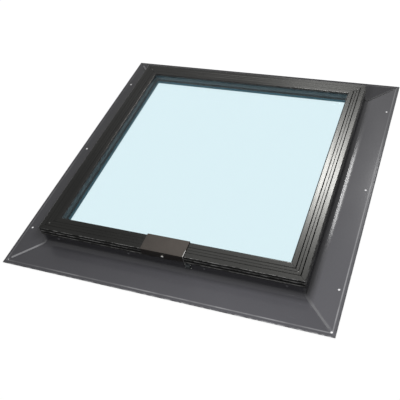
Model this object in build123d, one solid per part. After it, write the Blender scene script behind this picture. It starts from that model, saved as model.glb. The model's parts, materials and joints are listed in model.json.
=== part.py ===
# Fixed square skylight with its own low sheet metal curb and nailing flange.
# The insulated glass lies in a mitred aluminium frame, held down by a mitred cap,
# and a small clip wraps the sill side. The frame stands on a folded sheet flashing.
# Millimetres, +Z up, origin at the bottom centre, sill side towards -Y.
from build123d import *
import os

# Daylight opening between the inner legs of the frame
opening_width = 571.5
opening_length = 571.5

# Sheet metal flashing, heights from the roof deck
sheet = 1.0
flange_depth = 83.45
hem_height = 5.0
hem_return = 7.0
cove_radius = 13.0

# Nail holes in the flange
nail_radius = 2.4
nail_edge = 17.5
corner_edge = 10.0
nail_spacing = 298.0

# Sealed mitre seams of the flashing
bead_width = 5.0
bead_height = 0.8
bead_inset = 16.0
bead_stop = 1.5

# Insulated glass
pane = 4.0
cavity = 12.0
spacer_width = 7.0
seal_width = 4.0
glass_overlap = 17.5
glass_clearance = 2.0

# Glazing tape under the glass and gasket over it
tape_height = 2.0
tape_width = 12.0
tape_inset = 3.0
gasket_height = 3.0
gasket_width = 11.0
gasket_proud = 1.2

# Base frame extrusion
frame_wall = 1.8
ledge_height = 35.0
inner_leg = 5.0
leg_foot = 5.0
chamber_width = 23.0

# Cap extrusion: wall, lip over the glass, grooved top, outer leg with two ribs
cap_wall = 2.0
cap_lip = 5.6
cap_leg = 25.0
cap_round = 1.2
lip_round = 1.7
leg_wall = 1.5
rib_proud = 1.3
edge_band = 3.0
rib_half = 2.6
rib_one = 11.0
rib_two = 21.5
groove_width = 2.6
groove_depth = 1.3
groove_one = 13.0
groove_two = 28.5
crease_width = 1.6
crease_depth = 0.8
crease_place = 20.8

# Fits
curb_clearance = 0.3
cap_clearance = 0.3

# Sill clip and its screw
clip_width = 107.0
clip_sheet = 2.0
clip_leg = 18.0
clip_screw_drop = 12.0
screw_radius = 2.0
screw_clearance = 0.05
screw_head_radius = 3.6
screw_head_height = 2.2
screw_end = 3.0

# Distances outward from the edge of the daylight opening
stop_face = glass_overlap + glass_clearance
frame_out = stop_face + chamber_width
curb_in = frame_out + curb_clearance
curb_out = curb_in + sheet
cap_in = curb_out + cap_clearance
leg_out = cap_in + leg_wall
cap_out = leg_out + rib_proud
flange_out = curb_out + flange_depth

# Heights from the roof deck
leg_bottom = ledge_height - inner_leg
glass_bottom = ledge_height + tape_height
cavity_bottom = glass_bottom + pane
cavity_top = cavity_bottom + cavity
glass_top = cavity_top + pane
frame_top = glass_top + gasket_height
curb_top = frame_top - frame_wall
cap_top = frame_top + cap_wall
cap_bottom = cap_top - cap_leg
bead_top = cap_bottom - bead_stop

# Turn about Z, distance from the centre to the opening edge, half run along it
SIDES = {
    "right": (0, opening_width / 2, opening_length / 2),
    "back": (90, opening_length / 2, opening_width / 2),
    "left": (180, opening_width / 2, opening_length / 2),
    "front": (270, opening_length / 2, opening_width / 2),
}
CORNERS = {
    "back_right": (1, 1),
    "back_left": (-1, 1),
    "front_left": (-1, -1),
    "front_right": (1, -1),
}


def outline(*points):
    """Closed face through points of (outward distance, height)."""
    return make_face(Polyline(*points, close=True))


def band(low, high, bottom, top):
    """Rectangular face between two outward distances and two heights."""
    return outline((low, bottom), (high, bottom), (high, top), (low, top))


def mitre_block(gap, run):
    """Prism that ends a side's pieces on the 45 degree lines of the corners."""
    deep = min(gap, run) / 2
    wide = flange_out + deep
    inner = run - deep
    outer = run + wide
    plan = Polyline(
        (gap - deep, -inner), (gap + wide, -outer), (gap + wide, outer), (gap - deep, inner), close=True
    )
    return extrude(make_face(plan), amount=2 * cap_top)


def side_piece(profile, side):
    """Run a cross-section along one side, mitre both ends and turn it into place."""
    turn, gap, run = SIDES[side]
    bar = extrude(Plane.XZ * profile, amount=run + 2 * flange_out, both=True)
    return Rot(0, 0, turn) * (Pos(gap, 0, 0) * bar & mitre_block(gap, run))


def ring(profile):
    """All four mitred sides of a cross-section as one closed frame."""
    return Part() + [side_piece(profile, side) for side in SIDES]


def sheet_path(offset, low, high):
    """Centreline on the flange's upper face: from the flange edge, up the cove, to a height."""
    height = hem_height + offset
    radius = cove_radius - offset
    foot = curb_out + cove_radius
    flat = Line((low, height), (foot, height))
    cove = CenterArc((foot, hem_height + cove_radius), radius, 270, -90)
    rise = Line((foot - radius, hem_height + cove_radius), (foot - radius, high))
    return Curve() + [flat, cove, rise]


def flashing_profile():
    """Folded sheet: hem turned under at the edge, flange, cove bend and curb wall."""
    roll = (hem_height - sheet) / 2
    edge = flange_out - roll - sheet / 2
    under = Line((flange_out - hem_return, sheet / 2), (edge, sheet / 2))
    hem = CenterArc((edge, sheet / 2 + roll), roll, 270, 180)
    path = sheet_path(-sheet / 2, edge, curb_top)
    return trace(Curve() + [under, hem] + path, line_width=sheet)


def flashing(side):
    """One mitred side of the flashing, with nail holes down the left and right and in the corners."""
    body = side_piece(flashing_profile(), side)
    nail = Cylinder(nail_radius, 2 * hem_height)
    across = opening_width / 2 + flange_out
    along = opening_length / 2 + flange_out
    edge = across - nail_edge
    spots = [(x, y) for x in (-edge, edge) for y in (-nail_spacing, 0, nail_spacing)]
    spots += [(x * (across - corner_edge), y * (along - corner_edge)) for x, y in CORNERS.values()]
    return body - [Pos(x, y, hem_height) * nail for x, y in spots]


def seam(corner):
    """Sealant bead along a mitre of the flashing, from near the corner to under the cap."""
    skin = trace(sheet_path(bead_height / 2, flange_out - bead_inset, bead_top), line_width=bead_height)
    x, y = CORNERS[corner]
    reach = flange_out * 2
    slab = Box(reach, bead_width, 2 * cap_top)
    middle = Pos(x * (opening_width + flange_out) / 2, y * (opening_length + flange_out) / 2, 0)
    return ring(skin) & middle * Rot(0, 0, 45 * x * y) * slab


def base_profile():
    """Hollow frame extrusion: glass ledge, inner leg with a foot, glass stop and outer box."""
    under = ledge_height - frame_wall
    outer = outline(
        (0, leg_bottom),
        (0, ledge_height),
        (stop_face, ledge_height),
        (stop_face, frame_top),
        (curb_out, frame_top),
        (curb_out, curb_top),
        (frame_out, curb_top),
        (frame_out, under),
        (frame_wall, under),
        (frame_wall, leg_bottom + frame_wall),
        (leg_foot, leg_bottom + frame_wall),
        (leg_foot, leg_bottom),
    )
    chamber = band(stop_face + frame_wall, frame_out - frame_wall, ledge_height, curb_top)
    return outer - chamber


def leg_rib(drop):
    """Half round rib along the cap's leg, its middle a given drop below the cap's top."""
    middle = cap_top - drop
    low = (leg_out, middle - rib_half)
    high = (leg_out, middle + rib_half)
    root = cap_in + leg_wall / 2
    back = Polyline(high, (root, high[1]), (root, low[1]), low)
    return make_face(Curve() + [back, ThreePointArc(low, (cap_out, middle), high)])


def notch(place, width, depth):
    """V groove in the cap's top, its middle at a given place outward from the lip."""
    middle = cap_lip + place
    return outline((middle - width / 2, cap_top), (middle, cap_top - depth), (middle + width / 2, cap_top))


def cap_profile():
    """Angle extrusion over the glass edge: grooved top, ribbed leg down over the curb."""
    angle = outline(
        (cap_lip, frame_top),
        (cap_lip, cap_top),
        (cap_out, cap_top),
        (cap_out, cap_top - edge_band),
        (leg_out, cap_top - edge_band - rib_proud),
        (leg_out, cap_bottom),
        (cap_in, cap_bottom),
        (cap_in, frame_top),
    )
    angle = fillet(angle.vertices().sort_by(lambda v: v.X + v.Y)[-1], cap_round)
    angle = fillet(angle.vertices().sort_by(lambda v: v.X - v.Y)[0], lip_round)
    angle -= notch(groove_one, groove_width, groove_depth)
    angle -= notch(crease_place, crease_width, crease_depth)
    angle -= notch(groove_two, groove_width, groove_depth)
    return angle + leg_rib(rib_one) + leg_rib(rib_two)


def screw_axis():
    """Place of the clip screw on the outer face of the clip, pointing outward."""
    out = opening_length / 2 + cap_out + clip_sheet
    return Pos(0, -out, cap_top - clip_screw_drop) * Rot(90, 0, 0)


def screw_hole():
    """Clearance hole for the clip screw through clip, cap, curb and frame."""
    length = 4 * (cap_out - frame_out + frame_wall + clip_sheet)
    return screw_axis() * Cylinder(screw_radius + screw_clearance, length)


def sill_clip():
    """Bent strip round the sill cap, from its inner lip over the top and down the front."""
    top = cap_top + clip_sheet
    strip = outline(
        (cap_lip - clip_sheet, frame_top),
        (cap_lip - clip_sheet, top),
        (cap_out + clip_sheet, top),
        (cap_out + clip_sheet, cap_top - clip_leg),
        (cap_out, cap_top - clip_leg),
        (cap_out, cap_top),
        (cap_lip, cap_top),
        (cap_lip, frame_top),
    )
    bar = extrude(Plane.XZ * strip, amount=clip_width / 2, both=True)
    return Rot(0, 0, 270) * Pos(opening_length / 2, 0, 0) * bar - screw_hole()


def clip_screw():
    """Round head screw through the clip into the frame."""
    length = clip_sheet + cap_out - frame_out + frame_wall + screw_end
    shank = Pos(0, 0, -length) * Cylinder(screw_radius, length, align=(Align.CENTER, Align.CENTER, Align.MIN))
    head = Cylinder(screw_head_radius, screw_head_height, align=(Align.CENTER, Align.CENTER, Align.MIN))
    head = fillet(head.edges().group_by(Axis.Z)[-1], screw_head_height / 2)
    return screw_axis() * (shank + head)


def pane_at(height):
    """One sheet of glass whose edge reaches under the cap all round."""
    width = opening_width + 2 * glass_overlap
    length = opening_length + 2 * glass_overlap
    return Pos(0, 0, height) * Box(width, length, pane, align=(Align.CENTER, Align.CENTER, Align.MIN))


def gasket_profile():
    """Gasket between the glass and the cap, a little proud of the cap's lip."""
    low = cap_lip - gasket_proud
    return band(low, low + gasket_width, glass_top, frame_top)


def pieces():
    """Every piece of the skylight by name."""
    seal_in = glass_overlap - seal_width
    tape = band(tape_inset, tape_inset + tape_width, ledge_height, glass_bottom)
    made = {
        "glass_outer": pane_at(cavity_top),
        "glass_inner": pane_at(glass_bottom),
        "glass_spacer": ring(band(seal_in - spacer_width, seal_in, cavity_bottom, cavity_top)),
        "glass_edge_seal": ring(band(seal_in, glass_overlap, cavity_bottom, cavity_top)),
        "sill_clip": sill_clip(),
        "clip_screw": clip_screw(),
    }
    for side in SIDES:
        made["flashing_" + side] = flashing(side)
        made["base_frame_" + side] = side_piece(base_profile(), side)
        made["cap_" + side] = side_piece(cap_profile(), side)
        made["glazing_tape_" + side] = side_piece(tape, side)
        made["gasket_" + side] = side_piece(gasket_profile(), side)
    for corner in CORNERS:
        made["seam_" + corner] = seam(corner)
    for name in ("flashing_front", "base_frame_front", "cap_front"):
        made[name] = made[name] - screw_hole()
    return made


os.makedirs("parts", exist_ok=True)
for name, shape in pieces().items():
    export_step(shape, "parts/" + name + ".step")
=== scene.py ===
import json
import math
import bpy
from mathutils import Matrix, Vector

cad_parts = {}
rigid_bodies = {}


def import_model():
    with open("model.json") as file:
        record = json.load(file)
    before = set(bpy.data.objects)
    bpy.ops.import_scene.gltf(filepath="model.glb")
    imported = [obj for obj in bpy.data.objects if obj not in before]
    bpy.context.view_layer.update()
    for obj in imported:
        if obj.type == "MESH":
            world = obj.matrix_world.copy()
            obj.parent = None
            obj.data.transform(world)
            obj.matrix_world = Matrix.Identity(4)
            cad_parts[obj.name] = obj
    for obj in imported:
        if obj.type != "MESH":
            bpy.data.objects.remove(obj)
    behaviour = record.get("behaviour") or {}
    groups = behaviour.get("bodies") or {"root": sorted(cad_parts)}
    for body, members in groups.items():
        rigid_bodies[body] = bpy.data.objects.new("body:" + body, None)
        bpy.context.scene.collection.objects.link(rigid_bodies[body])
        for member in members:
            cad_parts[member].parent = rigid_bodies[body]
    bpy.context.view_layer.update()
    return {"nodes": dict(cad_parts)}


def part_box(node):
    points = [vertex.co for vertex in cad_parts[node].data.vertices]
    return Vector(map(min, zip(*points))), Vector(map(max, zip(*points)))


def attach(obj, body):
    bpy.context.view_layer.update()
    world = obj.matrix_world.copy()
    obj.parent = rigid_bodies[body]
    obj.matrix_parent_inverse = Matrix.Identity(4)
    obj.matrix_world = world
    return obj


bl_info = {
    "name": "Curb Skylight Dressing",
    "version": (1, 0, 0),
    "blender": (4, 5, 0),
    "location": "View3D > Sidebar > Skylight",
    "description": "Finishes, small fixings and a photo studio for a flanged curb skylight",
    "category": "Object",
}

import bmesh
import bpy
from bpy.props import FloatProperty, FloatVectorProperty, PointerProperty
from mathutils import Matrix, Vector

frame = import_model()
NODES = frame["nodes"]
BODY = "root"
SIDES = ("front", "right", "back", "left")

# Reaches from the middle and heights of the solid model, in metres
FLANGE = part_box("flashing_right")[1][0]
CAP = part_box("cap_right")[1][0]
CAP_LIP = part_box("cap_right")[0][0]
CAP_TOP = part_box("cap_right")[1][2]
CAP_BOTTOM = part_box("cap_right")[0][2]
CAP_OVER_CURB = 0.0031
CURB = CAP - CAP_OVER_CURB
COVE_WIDTH = 0.0135
COVE_END = CURB + COVE_WIDTH
SPACER_WIDTH = 0.007
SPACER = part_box("glass_spacer")[1][0] - SPACER_WIDTH
CAVITY = (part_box("glass_inner")[1][2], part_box("glass_outer")[0][2])
CLIP_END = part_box("sill_clip")[1][0]

# Nail holes: distances in from the flange's edge, spacing, and radius of the hole and its bared rim
NAIL_EDGE = 0.0175
CORNER_EDGE = 0.01
NAIL_SPACING = 0.298
NAIL_RADIUS = 0.0024
RIM_RADIUS = 0.0031

# Inner end of the hem's fold, in from the flange's edge
HEM_FOLD = 0.008

# Places of the small fittings: how deep they are let in, and their distance from an edge
SEAT = 0.0001
RIVET_DROP = 0.012
PIN_PLACE = 0.0208
HOOD_DROP = 0.003

FLOOR_HALF = 6.0


def colour(name, about, value):
    """A linear colour that a user can change."""
    return FloatVectorProperty(
        name=name,
        description=about,
        subtype="COLOR",
        size=3,
        default=value,
        min=0,
        max=1,
    )


def length(name, about, value):
    """A length in metres that a user can change."""
    return FloatProperty(name=name, description=about, default=value, min=0, precision=4, unit="LENGTH")


def share(name, about, value):
    """A number from 0 to 1 that a user can change."""
    return FloatProperty(name=name, description=about, default=value, min=0, max=1, subtype="FACTOR")


def brightness(name, about, value):
    """Brightness of a lamp that a user can change."""
    return FloatProperty(name=name, description="Brightness of the " + about, default=value, min=0)


class SkylightFinishes(bpy.types.PropertyGroup):
    """Colours and gloss of the skylight's surfaces."""

    paint: colour("Flashing paint", "Baked paint on the sheet flashing", (0.073, 0.0722, 0.08))
    paint_rough: share("Flashing roughness", "Roughness of the flashing paint", 0.48)
    # Also the colour of the painted highlight along the hem's fold
    bare_sheet_and_highlight: colour("Bare sheet", "Sheet metal where the paint is thin on edges", (0.46, 0.46, 0.47))
    bronze: colour("Bronze", "Dark anodised finish of the cap", (0.022, 0.022, 0.021))
    bronze_rough: share("Bronze roughness", "Roughness of the anodised cap", 0.24)
    # Also the colour of the painted highlights on the cap's arris and rib crests
    bare_metal_and_highlight: colour("Bare aluminium", "Cut ends and rubbed edges of extrusions", (0.6, 0.6, 0.59))
    clip: colour("Clip", "Anodised finish of the sill clip", (0.045, 0.04, 0.036))
    lining: colour("Lining", "Painted frame seen through the glass", (0.045, 0.12, 0.145))
    sealant: colour("Sealant", "Sealant in the flashing's left mitre seams", (0.4, 0.4, 0.415))
    # Painted shade: the right mitre seams get a darker copy of the sealant colour, to offset the stronger
    # light on that side
    sealant_shaded: colour("Painted sealant", "Sealant in the right mitre seams, painted over", (0.15, 0.15, 0.156))
    rubber: colour("Rubber", "Gaskets, glazing tape and edge seal", (0.03, 0.034, 0.036))
    tint: colour("Glass tint", "Light let through one pane", (0.84, 0.935, 0.96))
    spacer: colour("Spacer", "Bar between the panes", (0.03, 0.05, 0.058))
    steel: colour("Steel", "Plated screw", (0.55, 0.55, 0.53))
    pin: colour("Pin", "Dull pins in the cap's mitres", (0.1, 0.1, 0.095))


class SkylightFittings(bpy.types.PropertyGroup):
    """Sizes of the small fittings that the solid model leaves out."""

    rivet_radius: length("Rivet radius", "Head radius of the curb rivets", 0.003)
    rivet_rise: length("Rivet height", "Head height of the curb rivets", 0.0011)
    rivet_pitch: length("Rivet spacing", "Distance between rivets along the curb", 0.145)
    rivet_end: length("Rivet end", "Distance from a curb corner to the first rivet", 0.04)
    pin_radius: length("Pin radius", "Head radius of the pins in the cap's mitres", 0.002)
    pin_rise: length("Pin height", "Head height of the pins in the cap's mitres", 0.0006)
    slot_pitch: length("Vent pitch", "Distance between vents in the spacer bar", 0.006)
    slot_radius: length("Vent radius", "Radius of the vents in the spacer bar", 0.0005)
    hood_width: length("Hood width", "Width of the weep hood under the clip", 0.016)
    hood_height: length("Hood height", "Height of the weep hood", 0.015)
    hood_depth: length("Hood depth", "How far the weep hood stands out", 0.0055)
    hood_place: length("Hood place", "Distance of the weep hood to the right of the middle", 0.058)


class SkylightStudio(bpy.types.PropertyGroup):
    """Camera lens and light levels of the photo studio."""

    lens: FloatProperty(name="Lens", description="Focal length in millimetres", default=55.37, min=1)
    back: brightness("Back box", "big softbox behind", 2)
    front: brightness("Front box", "big softbox in front", 5.4)
    top: brightness("Top box", "near box over the flashing", 15.5)
    inner: brightness("Inner box", "box that lights the frame's inside", 6)
    far: brightness("Far box", "box seen in the back of the cap", 2.6)
    halo: brightness("Halo box", "box that softens the edge of the streaks", 16)
    edge: brightness("Cap light", "box that streaks the cap", 88)
    streak: brightness("Cove light", "strip seen in the cove", 66)
    ambient: share("Ambient", "Level of the surrounding light", 0.12)


def link(tree, out, into):
    """Join two sockets of a node tree."""
    tree.links.new(out, into)


def node(tree, kind, **inputs):
    """A new node with constants on its input sockets, spaces in names written as underscores."""
    made = tree.nodes.new(kind)
    for name, value in inputs.items():
        made.inputs[name.replace("_", " ")].default_value = value
    return made


def maths(tree, operation, *values):
    """A math node on sockets or numbers."""
    made = tree.nodes.new("ShaderNodeMath")
    made.operation = operation
    for into, value in zip(made.inputs, values):
        if isinstance(value, (int, float)):
            into.default_value = value
        else:
            link(tree, value, into)
    return made.outputs["Value"]


def rgba(value):
    """A colour property as four numbers."""
    return (*value, 1)


def blank_material(name):
    """An empty node material with its output."""
    material = bpy.data.materials.new(name)
    material.use_nodes = True
    tree = material.node_tree
    tree.nodes.clear()
    return material, tree, tree.nodes.new("ShaderNodeOutputMaterial")


def pattern(tree, x, y, z):
    """Object coordinates, scaled along each axis."""
    place = tree.nodes.new("ShaderNodeTexCoord")
    mapping = tree.nodes.new("ShaderNodeMapping")
    mapping.inputs["Scale"].default_value = (x, y, z)
    link(tree, place.outputs["Object"], mapping.inputs["Vector"])
    return mapping.outputs["Vector"]


def place_on_object(tree):
    """Distances from the object's middle planes along X and Y, and the height."""
    place = tree.nodes.new("ShaderNodeTexCoord")
    split = tree.nodes.new("ShaderNodeSeparateXYZ")
    link(tree, place.outputs["Object"], split.inputs["Vector"])
    return (
        maths(tree, "ABSOLUTE", split.outputs["X"]),
        maths(tree, "ABSOLUTE", split.outputs["Y"]),
        split.outputs["Z"],
    )


def noise(tree, vector, detail=3.0, roughness=0.5):
    """Noise on a scaled vector."""
    made = node(tree, "ShaderNodeTexNoise", Scale=1.0, Detail=detail, Roughness=roughness)
    link(tree, vector, made.inputs["Vector"])
    return made.outputs["Fac"]


def even_noise(tree, scale, detail=3.0, roughness=0.5):
    """Noise on object coordinates, scaled alike along all axes."""
    return noise(tree, pattern(tree, scale, scale, scale), detail, roughness)


def spread(tree, value, low, high, new_low=0.0, new_high=1.0):
    """Map a range of a value to another, with its ends held."""
    made = tree.nodes.new("ShaderNodeMapRange")
    for name, number in (("From Min", low), ("From Max", high), ("To Min", new_low), ("To Max", new_high)):
        made.inputs[name].default_value = number
    link(tree, value, made.inputs["Value"])
    return made.outputs["Result"]


def blend(tree, factor, first, second):
    """Mix two colours, each a socket or three numbers."""
    made = tree.nodes.new("ShaderNodeMix")
    made.data_type = "RGBA"
    link(tree, factor, made.inputs[0])
    sockets = [s for s in made.inputs if s.type == "RGBA"]
    for into, value in zip(sockets, (first, second)):
        if isinstance(value, bpy.types.NodeSocket):
            link(tree, value, into)
        else:
            into.default_value = rgba(value)
    return [s for s in made.outputs if s.type == "RGBA"][0]


def bumped(tree, height, distance, strength, under=None):
    """A normal from a height, on top of another normal if one is given."""
    made = node(tree, "ShaderNodeBump", Strength=strength, Distance=distance)
    link(tree, height, made.inputs["Height"])
    if under:
        link(tree, under, made.inputs["Normal"])
    return made.outputs["Normal"]


def scaled(value, factor):
    """A colour made lighter or darker."""
    return tuple(min(1, v * factor) for v in value)


def mottled(tree, factor, base, low, high):
    """A colour that varies between two strengths of itself."""
    return blend(tree, factor, scaled(base, low), scaled(base, high))


def surfaced(tree, out, shader, **sockets):
    """Link values to a shader's sockets and the shader to the output, names as in node."""
    for name, value in sockets.items():
        link(tree, value, shader.inputs[name.replace("_", " ")])
    link(tree, shader.outputs["BSDF"], out.inputs["Surface"])


def diagonal(tree, first, second):
    """Length of the diagonal over two distances."""
    squares = [maths(tree, "POWER", value, 2) for value in (first, second)]
    return maths(tree, "SQRT", maths(tree, "ADD", *squares))


def wear_and_highlight(tree, distance, start, end, grain):
    """Patchy mask that grows from 0 to 1 between two distances, for worn edges and for painted highlights.
    """
    edge = spread(tree, distance, start, end)
    patch = spread(tree, even_noise(tree, grain, detail=4), 0.42, 0.62)
    return maths(tree, "MULTIPLY", edge, patch)


def hole_rims(tree, across, along):
    """Thin ring round each nail hole where drilling bared the metal."""
    beside = maths(tree, "SUBTRACT", across, FLANGE - NAIL_EDGE)
    side = diagonal(tree, beside, maths(tree, "PINGPONG", along, NAIL_SPACING / 2))
    away = [maths(tree, "SUBTRACT", value, FLANGE - CORNER_EDGE) for value in (across, along)]
    nearest = maths(tree, "MINIMUM", side, diagonal(tree, *away))
    return spread(tree, nearest, NAIL_RADIUS, RIM_RADIUS, 0.8, 0.0)


def sheet_spring(tree, reach):
    """Height in metres where the sheet still rises a little between the cove and the flange."""
    rise = spread(tree, reach, COVE_END, COVE_END + 0.01, 1.0, 0.0)
    return maths(tree, "MULTIPLY", maths(tree, "POWER", rise, 2), 0.00054)


def hem_line(tree, reach):
    """Painted highlight: a narrow light line over the inner end of the hem's fold, where its crease catches
    light, in the colour of bared sheet.
    """
    away = maths(tree, "ABSOLUTE", maths(tree, "SUBTRACT", reach, FLANGE - HEM_FOLD))
    patch = spread(tree, even_noise(tree, 14), 0.4, 0.62, 0.35, 1.0)
    return maths(tree, "MULTIPLY", spread(tree, away, 0.0008, 0.0019, 0.42, 0.0), patch)


def sealant_smear(tree, across, along):
    """Sealant wiped beside the mitre seams, uneven."""
    beside = maths(tree, "ABSOLUTE", maths(tree, "SUBTRACT", across, along))
    patch = spread(tree, even_noise(tree, 70), 0.35, 0.6)
    return maths(tree, "MULTIPLY", spread(tree, beside, 0.002, 0.008, 0.17, 0.0), patch)


def painted_curb_shade(tree, reach):
    """Mask of painted shade on the curb wall and the cove, which fades out past the cove."""
    return spread(tree, reach, CURB + 0.003, COVE_END + 0.009, 0.85, 0.0)


def painted_sheet(finishes):
    """Dark grey baked paint: orange peel, slow waves of the sheet, scuffs, thin paint on the hem's edge, a
    painted highlight along the hem's fold and painted shade on the curb wall and cove.
    """
    material, tree, out = blank_material("flashing_paint")
    shader = node(
        tree,
        "ShaderNodeBsdfPrincipled",
        IOR=1.5,
        Specular_IOR_Level=0.22,
        Coat_Weight=0.2,
        Coat_Roughness=0.13,
    )
    across, along = place_on_object(tree)[:2]
    reach = maths(tree, "MAXIMUM", across, along)
    broad = even_noise(tree, 7)
    peel = even_noise(tree, 700, detail=2)
    waves = even_noise(tree, 5, detail=1)
    marks = noise(tree, pattern(tree, 60, 350, 60), detail=6, roughness=0.65)
    scuffs = spread(tree, marks, 0.66, 0.74)
    edge = wear_and_highlight(tree, reach, FLANGE - 0.0012, FLANGE - 0.0004, 90)
    base = mottled(tree, broad, finishes.paint, 0.88, 1.12)
    for mask, tone in (
        (maths(tree, "MULTIPLY", scuffs, 0.4), scaled(finishes.paint, 2.4)),
        (maths(tree, "MAXIMUM", edge, hole_rims(tree, across, along)), finishes.bare_sheet_and_highlight),
        # Painted highlight along the hem's fold, in the colour of bared sheet
        (hem_line(tree, reach), finishes.bare_sheet_and_highlight),
        (sealant_smear(tree, across, along), finishes.sealant),
        # Painted shade: the curb wall and cove darkened to a quarter of the paint colour
        (painted_curb_shade(tree, reach), scaled(finishes.paint, 0.25)),
    ):
        base = blend(tree, mask, base, tone)
    rough = maths(tree, "ADD", spread(tree, broad, 0.3, 0.7, -0.04, 0.04), finishes.paint_rough)
    rough = maths(tree, "ADD", rough, maths(tree, "MULTIPLY", scuffs, 0.15))
    normal = bumped(tree, waves, 0.004, 0.12)
    normal = bumped(tree, sheet_spring(tree, reach), 1.0, 1.0, normal)
    normal = bumped(tree, peel, 0.00004, 0.25, normal)
    surfaced(tree, out, shader, Base_Color=base, Roughness=rough, Normal=normal, Coat_Normal=normal)
    return material


def die_lines(tree, along):
    """Fine lines that an extrusion die leaves along one axis."""
    across = [3 if axis == along else 1500 for axis in "xyz"]
    return noise(tree, pattern(tree, *across), detail=2)


def anodised_cap(finishes, along):
    """Dark anodised cap: die lines, tight mitre joints, and painted highlights on the outer arris and rib
    crests, in the colour of uncoated aluminium.
    """
    material, tree, out = blank_material("cap_finish_" + along)
    shader = node(tree, "ShaderNodeBsdfPrincipled", Metallic=1.0)
    x, y, height = place_on_object(tree)
    reach = maths(tree, "MAXIMUM", x, y)
    lines = die_lines(tree, along)
    high = spread(tree, height, CAP_TOP - 0.0011, CAP_TOP - 0.0004)
    # Painted highlight on the outer arris of the top, in the uncoated aluminium colour
    arris = maths(tree, "MULTIPLY", wear_and_highlight(tree, reach, CAP - 0.0012, CAP - 0.0005, 120), high)
    # Painted highlight on the rib crests of the outer face, in the uncoated aluminium colour
    crest = wear_and_highlight(tree, reach, CAP - 0.0006, CAP - 0.0001, 60)
    joint = maths(tree, "ABSOLUTE", maths(tree, "SUBTRACT", x, y))
    gap = spread(tree, joint, 0.0002, 0.0005, 1.0, 0.0)
    base = mottled(tree, even_noise(tree, 9), finishes.bronze, 0.85, 1.15)
    base = blend(tree, maths(tree, "MULTIPLY", arris, 0.1), base, finishes.bare_metal_and_highlight)
    base = blend(tree, maths(tree, "MULTIPLY", crest, 0.3), base, finishes.bare_metal_and_highlight)
    base = blend(tree, gap, base, (0.002, 0.002, 0.002))
    rough = finishes.bronze_rough
    streaks = spread(tree, lines, 0.3, 0.7, rough - 0.05, rough + 0.05)
    rough = maths(tree, "ADD", streaks, maths(tree, "MULTIPLY", gap, 0.4))
    normal = bumped(tree, lines, 0.00002, 0.3)
    surfaced(tree, out, shader, Base_Color=base, Roughness=rough, Normal=normal)
    return material


def lining_paint(finishes):
    """Painted inside of the frame, with a fine texture and a slow change of tone."""
    material, tree, out = blank_material("frame_finish")
    shader = node(tree, "ShaderNodeBsdfPrincipled", IOR=1.5, Specular_IOR_Level=0.15)
    grain = even_noise(tree, 500, detail=2)
    broad = even_noise(tree, 12)
    surfaced(
        tree,
        out,
        shader,
        Base_Color=mottled(tree, broad, finishes.lining, 0.85, 1.15),
        Roughness=spread(tree, broad, 0.3, 0.7, 0.38, 0.5),
        Normal=bumped(tree, grain, 0.00004, 0.3),
    )
    return material


def clip_metal(finishes):
    """Anodised strip; its sawn right end shows uncoated metal, faded out away from the sill as a painted
    highlight.
    """
    material, tree, out = blank_material("clip_finish")
    shader = node(tree, "ShaderNodeBsdfPrincipled", Metallic=1.0)
    split = tree.nodes.new("ShaderNodeSeparateXYZ")
    link(tree, pattern(tree, 1, 1, 1), split.inputs["Vector"])
    lines = die_lines(tree, "x")
    sawn = spread(tree, split.outputs["X"], CLIP_END - 0.0013, CLIP_END - 0.0009)
    # Painted highlight: the uncoated colour of the cut end shows only toward the sill and fades out along
    # the end
    sill = spread(tree, split.outputs["Y"], 0.014 - CAP, 0.019 - CAP, 0.6, 0.0)
    base = mottled(tree, even_noise(tree, 30), finishes.clip, 0.85, 1.15)
    surfaced(
        tree,
        out,
        shader,
        Base_Color=blend(tree, maths(tree, "MULTIPLY", sawn, sill), base, finishes.bare_metal_and_highlight),
        Roughness=spread(tree, lines, 0.3, 0.7, 0.3, 0.42),
        Normal=bumped(tree, lines, 0.00002, 0.3),
    )
    return material


def plated_steel(name, base):
    """Plated metal with a fine grain."""
    material, tree, out = blank_material(name)
    shader = node(tree, "ShaderNodeBsdfPrincipled", Metallic=1.0)
    marks = even_noise(tree, 900, detail=2)
    surfaced(
        tree,
        out,
        shader,
        Base_Color=mottled(tree, marks, base, 0.8, 1.1),
        Roughness=spread(tree, marks, 0.3, 0.7, 0.2, 0.36),
    )
    return material


def mitre_sealant(name, finishes, base):
    """Tooled sealant in a mitre of the flashing, darkened by painted shade up the cove and the curb wall."""
    material, tree, out = blank_material(name)
    shader = node(tree, "ShaderNodeBsdfPrincipled", IOR=1.45)
    lumps = even_noise(tree, 160)
    coat = mottled(tree, lumps, base, 0.8, 1.2)
    # Painted shade: the same dark mask as on the flashing's curb wall and cove
    shade = painted_curb_shade(tree, maths(tree, "MAXIMUM", *place_on_object(tree)[:2]))
    surfaced(
        tree,
        out,
        shader,
        Base_Color=blend(tree, shade, coat, scaled(finishes.paint, 0.25)),
        Roughness=spread(tree, lumps, 0.3, 0.7, 0.42, 0.58),
        Normal=bumped(tree, lumps, 0.0004, 0.5),
    )
    return material


def soft_solid(name, base, rough, grain, depth):
    """Matt material such as rubber or plastic, with an uneven surface."""
    material, tree, out = blank_material(name)
    shader = node(tree, "ShaderNodeBsdfPrincipled", IOR=1.45)
    lumps = even_noise(tree, grain)
    surfaced(
        tree,
        out,
        shader,
        Base_Color=mottled(tree, lumps, base, 0.8, 1.2),
        Roughness=spread(tree, lumps, 0.3, 0.7, rough - 0.08, rough + 0.08),
        Normal=bumped(tree, lumps, depth, 0.5),
    )
    return material


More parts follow.
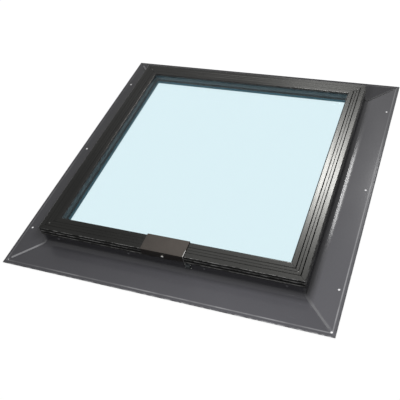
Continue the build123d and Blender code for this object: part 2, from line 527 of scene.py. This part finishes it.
def clear_glass(finishes):
    """Tinted glass that lets lamps through, its index kept low so that it hardly mirrors the white world."""
    material, tree, out = blank_material("glass")
    shader = node(
        tree,
        "ShaderNodeBsdfPrincipled",
        Base_Color=rgba(finishes.tint),
        Roughness=0.0,
        IOR=1.2,
        Transmission_Weight=1.0,
    )
    lamp = node(tree, "ShaderNodeBsdfTransparent", Color=rgba(finishes.tint))
    path = tree.nodes.new("ShaderNodeLightPath")
    mix = tree.nodes.new("ShaderNodeMixShader")
    link(tree, path.outputs["Is Shadow Ray"], mix.inputs[0])
    link(tree, shader.outputs["BSDF"], mix.inputs[1])
    link(tree, lamp.outputs["BSDF"], mix.inputs[2])
    link(tree, mix.outputs["Shader"], out.inputs["Surface"])
    return material


def finish(names, material):
    """Give CAD nodes a material."""
    for name in names:
        slots = NODES[name].material_slots
        if not slots:
            NODES[name].data.materials.append(material)
            continue
        for slot in slots:
            slot.material = material


class SKYLIGHT_OT_flashing(bpy.types.Operator):
    """Paint the four sheets of the flashing"""

    bl_idname = "skylight.flashing"
    bl_label = "Flashing"

    def execute(self, context):
        finish(["flashing_" + side for side in SIDES], painted_sheet(context.scene.skylight_finishes))
        return {"FINISHED"}


class SKYLIGHT_OT_seams(bpy.types.Operator):
    """Finish the sealant beads in the flashing's mitres"""

    bl_idname = "skylight.seams"
    bl_label = "Mitre seams"

    def execute(self, context):
        finishes = context.scene.skylight_finishes
        for side, name, base in (
            ("left", "sealant", finishes.sealant),
            # Painted shade: the right seams use the darker copy of the sealant colour
            ("right", "painted_sealant", finishes.sealant_shaded),
        ):
            finish(["seam_front_" + side, "seam_back_" + side], mitre_sealant(name, finishes, base))
        return {"FINISHED"}


class SKYLIGHT_OT_extrusions(bpy.types.Operator):
    """Anodise the cap and paint the frame"""

    bl_idname = "skylight.extrusions"
    bl_label = "Frame and cap"

    def execute(self, context):
        finishes = context.scene.skylight_finishes
        finish(["cap_front", "cap_back"], anodised_cap(finishes, "x"))
        finish(["cap_left", "cap_right"], anodised_cap(finishes, "y"))
        finish(["base_frame_" + side for side in SIDES], lining_paint(finishes))
        return {"FINISHED"}


class SKYLIGHT_OT_glazing(bpy.types.Operator):
    """Finish the panes, the spacer between them and the seals round them"""

    bl_idname = "skylight.glazing"
    bl_label = "Glazing"

    def execute(self, context):
        finishes = context.scene.skylight_finishes
        rubber = soft_solid("rubber", finishes.rubber, 0.55, 700, 0.00005)
        finish(["glass_outer", "glass_inner"], clear_glass(finishes))
        finish(["glass_spacer"], soft_solid("spacer_bar", finishes.spacer, 0.4, 900, 0.00003))
        finish(["glass_edge_seal"], rubber)
        finish([name + side for name in ("gasket_", "glazing_tape_") for side in SIDES], rubber)
        return {"FINISHED"}


class SKYLIGHT_OT_clip(bpy.types.Operator):
    """Finish the sill clip and its screw"""

    bl_idname = "skylight.clip"
    bl_label = "Sill clip"

    def execute(self, context):
        finishes = context.scene.skylight_finishes
        finish(["sill_clip"], clip_metal(finishes))
        finish(["clip_screw"], plated_steel("screw_steel", finishes.steel))
        return {"FINISHED"}


def new_node_group(name, inputs):
    """A geometry node group with a geometry input and output and the given named inputs."""
    tree = bpy.data.node_groups.new(name, "GeometryNodeTree")
    tree.interface.new_socket("Geometry", in_out="INPUT", socket_type="NodeSocketGeometry")
    for label, kind in inputs:
        tree.interface.new_socket(label, in_out="INPUT", socket_type=kind)
    tree.interface.new_socket("Geometry", in_out="OUTPUT", socket_type="NodeSocketGeometry")
    return tree, tree.nodes.new("NodeGroupInput"), tree.nodes.new("NodeGroupOutput")


def low_dome(tree, given):
    """Head made of a broad ring and a smaller rise on it, seated at its foot."""
    join = tree.nodes.new("GeometryNodeJoinGeometry")
    for bottom, top, foot, rise in ((1.0, 0.82, 0.0, 0.6), (0.82, 0.3, 0.6, 0.4)):
        cone = tree.nodes.new("GeometryNodeMeshCone")
        cone.inputs["Vertices"].default_value = 20
        link(tree, maths(tree, "MULTIPLY", given["Head radius"], bottom), cone.inputs["Radius Bottom"])
        link(tree, maths(tree, "MULTIPLY", given["Head radius"], top), cone.inputs["Radius Top"])
        link(tree, maths(tree, "MULTIPLY", given["Head height"], rise), cone.inputs["Depth"])
        shift = tree.nodes.new("ShaderNodeCombineXYZ")
        link(tree, maths(tree, "MULTIPLY", given["Head height"], foot), shift.inputs["Z"])
        move = tree.nodes.new("GeometryNodeTransform")
        link(tree, cone.outputs["Mesh"], move.inputs["Geometry"])
        link(tree, shift.outputs["Vector"], move.inputs["Translation"])
        link(tree, move.outputs["Geometry"], join.inputs["Geometry"])
    return join.outputs["Geometry"]


def heads_tree():
    """Node group that sets heads at even steps along edges, each facing its edge's own way."""
    tree, start, end = new_node_group(
        "heads_along",
        [
            ("Spacing", "NodeSocketFloat"),
            ("Head radius", "NodeSocketFloat"),
            ("Head height", "NodeSocketFloat"),
            ("Finish", "NodeSocketMaterial"),
        ],
    )
    given = start.outputs
    curve = tree.nodes.new("GeometryNodeMeshToCurve")
    spaced = tree.nodes.new("GeometryNodeResampleCurve")
    spaced.mode = "LENGTH"
    points = tree.nodes.new("GeometryNodeInstanceOnPoints")
    facing = tree.nodes.new("GeometryNodeInputNamedAttribute")
    facing.data_type = "FLOAT_VECTOR"
    facing.inputs["Name"].default_value = "facing"
    turn = tree.nodes.new("FunctionNodeAlignRotationToVector")
    turn.axis = "Z"
    real = tree.nodes.new("GeometryNodeRealizeInstances")
    coat = tree.nodes.new("GeometryNodeSetMaterial")
    link(tree, given["Geometry"], curve.inputs["Mesh"])
    link(tree, curve.outputs["Curve"], spaced.inputs["Curve"])
    link(tree, given["Spacing"], spaced.inputs["Length"])
    link(tree, spaced.outputs["Curve"], points.inputs["Points"])
    link(tree, low_dome(tree, given), points.inputs["Instance"])
    link(tree, facing.outputs["Attribute"], turn.inputs["Vector"])
    link(tree, turn.outputs["Rotation"], points.inputs["Rotation"])
    link(tree, points.outputs["Instances"], real.inputs["Geometry"])
    link(tree, real.outputs["Geometry"], coat.inputs["Geometry"])
    link(tree, given["Finish"], coat.inputs["Material"])
    link(tree, coat.outputs["Geometry"], end.inputs["Geometry"])
    return tree


def made_plain(piece):
    """Swap a piece's mesh for the evaluated one and drop its modifiers."""
    graph = bpy.context.evaluated_depsgraph_get()
    mesh = bpy.data.meshes.new_from_object(piece.evaluated_get(graph))
    piece.modifiers.clear()
    piece.data = mesh
    mesh.name = piece.name


def run_heads(name, runs, material, slot, **sizes):
    """Heads along straight runs, each a start, an end and the way that its heads face."""
    mesh = bpy.data.meshes.new(name)
    points = [point for start, end, facing in runs for point in (start, end)]
    mesh.from_pydata(points, [(i, i + 1) for i in range(0, len(points), 2)], [])
    facing = mesh.attributes.new("facing", "FLOAT_VECTOR", "POINT")
    for i, run in enumerate(runs):
        for j in (0, 1):
            facing.data[2 * i + j].vector = run[2]
    piece = bpy.data.objects.new(name, mesh)
    bpy.context.scene.collection.objects.link(piece)
    modifier = piece.modifiers.new("heads", "NODES")
    modifier.node_group = bpy.data.node_groups.get("heads_along") or heads_tree()
    values = {
        "Spacing": sizes["spacing"],
        "Head radius": sizes["radius"],
        "Head height": sizes["rise"],
        "Finish": material,
    }
    for item in modifier.node_group.interface.items_tree:
        if item.in_out == "INPUT" and item.name in values:
            modifier[item.identifier] = values[item.name]
    made_plain(piece)
    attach(piece, BODY)


def four_sides(distance, reach, height, inward=False):
    """Straight runs along the four sides at a distance from the middle, facing out or in."""
    way = -1 if inward else 1
    return [
        ((x * distance - y * reach, y * distance + x * reach, height),
         (x * distance + y * reach, y * distance - x * reach, height),
         (way * x, way * y, 0))
        for x, y in ((1, 0), (0, 1), (-1, 0), (0, -1))
    ]


class SKYLIGHT_OT_rivets(bpy.types.Operator):
    """Rivets that hold the flashing's curb wall to the frame, painted with it"""

    bl_idname = "skylight.rivets"
    bl_label = "Curb rivets"

    def execute(self, context):
        fittings = context.scene.skylight_fittings
        height = CAP_BOTTOM - RIVET_DROP
        run_heads(
            "curb_rivets",
            four_sides(CURB - SEAT, CURB - fittings.rivet_end, height),
            bpy.data.materials["flashing_paint"],
            "flashing_paint",
            spacing=fittings.rivet_pitch,
            radius=fittings.rivet_radius,
            rise=fittings.rivet_rise,
        )
        return {"FINISHED"}


class SKYLIGHT_OT_pins(bpy.types.Operator):
    """Pins that key the cap's four mitres"""

    bl_idname = "skylight.pins"
    bl_label = "Mitre pins"

    def execute(self, context):
        fittings = context.scene.skylight_fittings
        middle = CAP_LIP + PIN_PLACE
        near, far, foot = middle - 0.00001, middle + 0.00001, CAP_TOP - SEAT
        runs = [
            ((x * near, y * near, foot), (x * far, y * far, foot), (0, 0, 1))
            for x in (-1, 1)
            for y in (-1, 1)
        ]
        run_heads(
            "mitre_pins",
            runs,
            plated_steel("pin_steel", context.scene.skylight_finishes.pin),
            "screw_steel",
            spacing=0.01,
            radius=fittings.pin_radius,
            rise=fittings.pin_rise,
        )
        return {"FINISHED"}


class SKYLIGHT_OT_vents(bpy.types.Operator):
    """Row of small vents in the spacer bar, on the side that shows between the panes"""

    bl_idname = "skylight.vents"
    bl_label = "Spacer vents"

    def execute(self, context):
        fittings = context.scene.skylight_fittings
        run_heads(
            "spacer_vents",
            four_sides(SPACER + 0.00005, SPACER - 0.01, sum(CAVITY) / 2, inward=True),
            bpy.data.materials["rubber"],
            "spacer_bar",
            spacing=fittings.slot_pitch,
            radius=fittings.slot_radius,
            rise=0.0001,
        )
        return {"FINISHED"}


def rounded_block(target, width, depth, height, place, rounding):
    """Add a block with rounded edges, its centre on the place given."""
    made = bmesh.ops.create_cube(target, size=1)
    corners = made["verts"]
    bmesh.ops.scale(target, vec=(width, depth, height), verts=corners)
    bmesh.ops.translate(target, vec=place, verts=corners)
    edges = list({edge for vertex in corners for edge in vertex.link_edges})
    bmesh.ops.bevel(target, geom=edges, offset=rounding, segments=3, profile=0.5, affect="EDGES")


class SKYLIGHT_OT_weep_hood(bpy.types.Operator):
    """Small moulded hood on the sill's curb wall, right of the clip"""

    bl_idname = "skylight.weep_hood"
    bl_label = "Weep hood"

    def execute(self, context):
        fittings = context.scene.skylight_fittings
        wide, tall, deep = fittings.hood_width, fittings.hood_height, fittings.hood_depth
        x, wall, z = fittings.hood_place, SEAT - CURB, CAP_BOTTOM - HOOD_DROP - tall / 2
        plate, tack = 0.0014, 0.0021
        build = bmesh.new()
        rounded_block(build, wide, plate, tall, (x, wall - plate / 2, z), 0.0005)
        rounded_block(build, wide * 0.72, deep, tall * 0.62, (x, wall - deep / 2, z + tall * 0.08), 0.0014)
        for step in (-1, 0, 1):
            rise = z + tall * (0.08 + step * 0.17)
            rounded_block(build, wide * 0.6, 0.0012, 0.0011, (x, wall - deep, rise), 0.0004)
        first_tack = len(build.faces)
        for across, up in ((-1, -1), (1, -1), (-1, 1), (1, 1)):
            middle = (x + across * wide * 0.43, wall - 0.0016, z + up * tall * 0.42)
            rounded_block(build, tack, tack, tack, middle, 0.0007)
        build.faces.ensure_lookup_table()
        for face in build.faces[first_tack:]:
            face.material_index = 1
        mesh = bpy.data.meshes.new("weep_hood")
        build.to_mesh(mesh)
        build.free()
        hood = bpy.data.objects.new("weep_hood", mesh)
        context.scene.collection.objects.link(hood)
        dark = scaled(context.scene.skylight_finishes.rubber, 0.8)
        mesh.materials.append(soft_solid("moulded_plastic", dark, 0.25, 500, 0.00003))
        mesh.materials.append(bpy.data.materials["screw_steel"])
        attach(hood, BODY)
        return {"FINISHED"}


def floor_material():
    """Pale floor that shows as white background and keeps a faint shadow."""
    material, tree, out = blank_material("studio_floor")
    path = tree.nodes.new("ShaderNodeLightPath")
    seen = maths(tree, "MAXIMUM", path.outputs["Is Camera Ray"], path.outputs["Is Glossy Ray"])
    matt = node(tree, "ShaderNodeBsdfDiffuse", Color=(0.7, 0.7, 0.7, 1))
    dim = node(tree, "ShaderNodeBsdfDiffuse", Color=(0.3, 0.3, 0.3, 1))
    glow = node(tree, "ShaderNodeEmission", Color=(1, 1, 1, 1), Strength=0.95)
    white = node(tree, "ShaderNodeEmission", Color=(1, 1, 1, 1), Strength=1.0)
    both = tree.nodes.new("ShaderNodeAddShader")
    link(tree, dim.outputs["BSDF"], both.inputs[0])
    link(tree, glow.outputs["Emission"], both.inputs[1])
    direct = tree.nodes.new("ShaderNodeMixShader")
    link(tree, seen, direct.inputs[0])
    link(tree, matt.outputs["BSDF"], direct.inputs[1])
    link(tree, both.outputs["Shader"], direct.inputs[2])
    through = tree.nodes.new("ShaderNodeMixShader")
    link(tree, path.outputs["Is Transmission Ray"], through.inputs[0])
    link(tree, direct.outputs["Shader"], through.inputs[1])
    link(tree, white.outputs["Emission"], through.inputs[2])
    link(tree, through.outputs["Shader"], out.inputs["Surface"])
    return material


def studio_world(level):
    """White surroundings to the eye, in reflections and through glass, softer as light."""
    world = bpy.data.worlds.new("studio")
    world.use_nodes = True
    tree = world.node_tree
    tree.nodes.clear()
    out = tree.nodes.new("ShaderNodeOutputWorld")
    path = tree.nodes.new("ShaderNodeLightPath")
    first = maths(tree, "MAXIMUM", path.outputs["Is Camera Ray"], path.outputs["Is Glossy Ray"])
    seen = maths(tree, "MAXIMUM", first, path.outputs["Is Transmission Ray"])
    lit = node(tree, "ShaderNodeBackground", Color=(1, 1, 1, 1), Strength=level)
    white = node(tree, "ShaderNodeBackground", Color=(1, 1, 1, 1), Strength=1.0)
    mix = tree.nodes.new("ShaderNodeMixShader")
    link(tree, seen, mix.inputs[0])
    link(tree, lit.outputs["Background"], mix.inputs[1])
    link(tree, white.outputs["Background"], mix.inputs[2])
    link(tree, mix.outputs["Shader"], out.inputs["Surface"])
    bpy.context.scene.world = world


def softbox(name, target, azimuth, elevation, distance, size, level, lights):
    """Softbox in a direction from a target, of a given brightness, that lights the named pieces."""
    turn, rise = math.radians(azimuth), math.radians(elevation)
    away = Vector((-math.cos(rise) * math.sin(turn), math.cos(rise) * math.cos(turn), math.sin(rise)))
    data = bpy.data.lights.new(name, "AREA")
    data.shape = "RECTANGLE"
    data.size, data.size_y = size
    data.energy = level * math.pi * size[0] * size[1]
    lamp = bpy.data.objects.new(name, data)
    lamp.location = Vector(target) + distance * away
    lamp.rotation_euler = (-away).to_track_quat("-Z", "Y").to_euler()
    bpy.context.scene.collection.objects.link(lamp)
    lit = bpy.data.collections.new(name + "_lights")
    for piece in bpy.data.objects:
        if piece.type == "MESH" and piece.name.startswith(lights):
            lit.objects.link(piece)
    lamp.light_linking.receiver_collection = lit
    lamp.visible_camera = False
    return lamp


CAMERA_PLACE = (0.5654, -1.0338, 1.1341)
CAMERA_TURN = 27.85
CAMERA_TILT = 46.76
CAMERA_ROLL = -11.71
CAMERA_SHIFT = (-0.0705, -0.0055)


def add_camera(lens):
    """The photograph's viewpoint."""
    data = bpy.data.cameras.new("camera")
    data.sensor_width = 36
    data.lens = lens
    data.shift_x, data.shift_y = CAMERA_SHIFT
    camera = bpy.data.objects.new("camera", data)
    turn = Matrix.Rotation(math.radians(CAMERA_TURN), 4, "Z")
    tilt = Matrix.Rotation(math.radians(90 - CAMERA_TILT), 4, "X")
    roll = Matrix.Rotation(math.radians(CAMERA_ROLL), 4, "Z")
    camera.matrix_world = Matrix.Translation(CAMERA_PLACE) @ turn @ tilt @ roll
    bpy.context.scene.collection.objects.link(camera)
    bpy.context.scene.camera = camera


CAP_PIECES = ("cap_", "sill_clip", "clip_screw", "mitre_pins")
SHEET_PIECES = ("flashing_", "seam_", "curb_rivets", "weep_hood")
INNER_PIECES = ("base_frame_", "gasket_", "glazing_tape_", "glass_spacer", "glass_edge_seal", "spacer_vents")

# Name, level, target, azimuth, elevation, distance, size, and the names of what the softbox lights
SOFTBOXES = (
    ("back_box", "back", (0, 0, 0), 15, 52, 2.6, (1.6, 1.2), CAP_PIECES + INNER_PIECES + ("floor",)),
    ("front_box", "front", (0, 0, 0), 165, 52, 2.6, (1.6, 1.2), CAP_PIECES + INNER_PIECES),
    ("inner_box", "inner", (0, 0, 0), 215, 50, 2.4, (1.2, 1.0), INNER_PIECES),
    ("top_box", "top", (0.23, -0.6, 0), 0, 90, 0.7, (0.2, 0.7), SHEET_PIECES),
    ("cap_halo", "halo", (0.37, 0, 0), 12, 46, 2.4, (0.6, 0.5), CAP_PIECES),
    ("far_box", "far", (0.22, 0.3, CAP_TOP), 14, 37.5, 2.4, (0.5, 0.4), ("cap_back",)),
    ("cap_light", "edge", (0.31, 0, CAP_TOP), 17.5, 46, 2.2, (0.3, 0.22), CAP_PIECES),
    ("cove_light", "streak", (0.345, 0, 0.005), 1.5, 48.8, 2.4, (0.17, 0.5), ("flashing_right",)),
)


class SKYLIGHT_OT_stage(bpy.types.Operator):
    """Floor, surroundings, softboxes and camera of the photo studio"""

    bl_idname = "skylight.stage"
    bl_label = "Studio"

    def execute(self, context):
        studio = context.scene.skylight_studio
        mesh = bpy.data.meshes.new("floor")
        corners = [(x * FLOOR_HALF, y * FLOOR_HALF, 0) for x, y in ((-1, -1), (1, -1), (1, 1), (-1, 1))]
        mesh.from_pydata(corners, [], [(0, 1, 2, 3)])
        mesh.materials.append(floor_material())
        floor = bpy.data.objects.new("floor", mesh)
        context.scene.collection.objects.link(floor)
        studio_world(studio.ambient)
        for name, level, *place, lights in SOFTBOXES:
            softbox(name, *place, getattr(studio, level), lights)
        bpy.data.objects["top_box"].visible_glossy = False
        add_camera(studio.lens)
        context.scene.view_settings.view_transform = "Standard"
        return {"FINISHED"}


class SKYLIGHT_PT_panel(bpy.types.Panel):
    """Sidebar panel that lists the steps"""

    bl_label = "Skylight"
    bl_idname = "SKYLIGHT_PT_panel"
    bl_space_type = "VIEW_3D"
    bl_region_type = "UI"
    bl_category = "Skylight"

    def draw(self, context):
        for operator in OPERATORS:
            self.layout.operator(operator.bl_idname)


OPERATORS = (
    SKYLIGHT_OT_flashing,
    SKYLIGHT_OT_seams,
    SKYLIGHT_OT_extrusions,
    SKYLIGHT_OT_glazing,
    SKYLIGHT_OT_clip,
    SKYLIGHT_OT_rivets,
    SKYLIGHT_OT_pins,
    SKYLIGHT_OT_vents,
    SKYLIGHT_OT_weep_hood,
    SKYLIGHT_OT_stage,
)
SETTINGS = (SkylightFinishes, SkylightFittings, SkylightStudio)


def register():
    """Register the classes and the scene's settings."""
    for made in (*SETTINGS, *OPERATORS, SKYLIGHT_PT_panel):
        bpy.utils.register_class(made)
    bpy.types.Scene.skylight_finishes = PointerProperty(type=SkylightFinishes)
    bpy.types.Scene.skylight_fittings = PointerProperty(type=SkylightFittings)
    bpy.types.Scene.skylight_studio = PointerProperty(type=SkylightStudio)


def unregister():
    """Remove the scene's settings and the classes."""
    del bpy.types.Scene.skylight_studio
    del bpy.types.Scene.skylight_fittings
    del bpy.types.Scene.skylight_finishes
    for made in (SKYLIGHT_PT_panel, *reversed(OPERATORS), *reversed(SETTINGS)):
        bpy.utils.unregister_class(made)


def main():
    """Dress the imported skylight."""
    register()
    for operator in OPERATORS:
        family, action = operator.bl_idname.split(".")
        getattr(getattr(bpy.ops, family), action)()


if __name__ == "__main__":
    main()
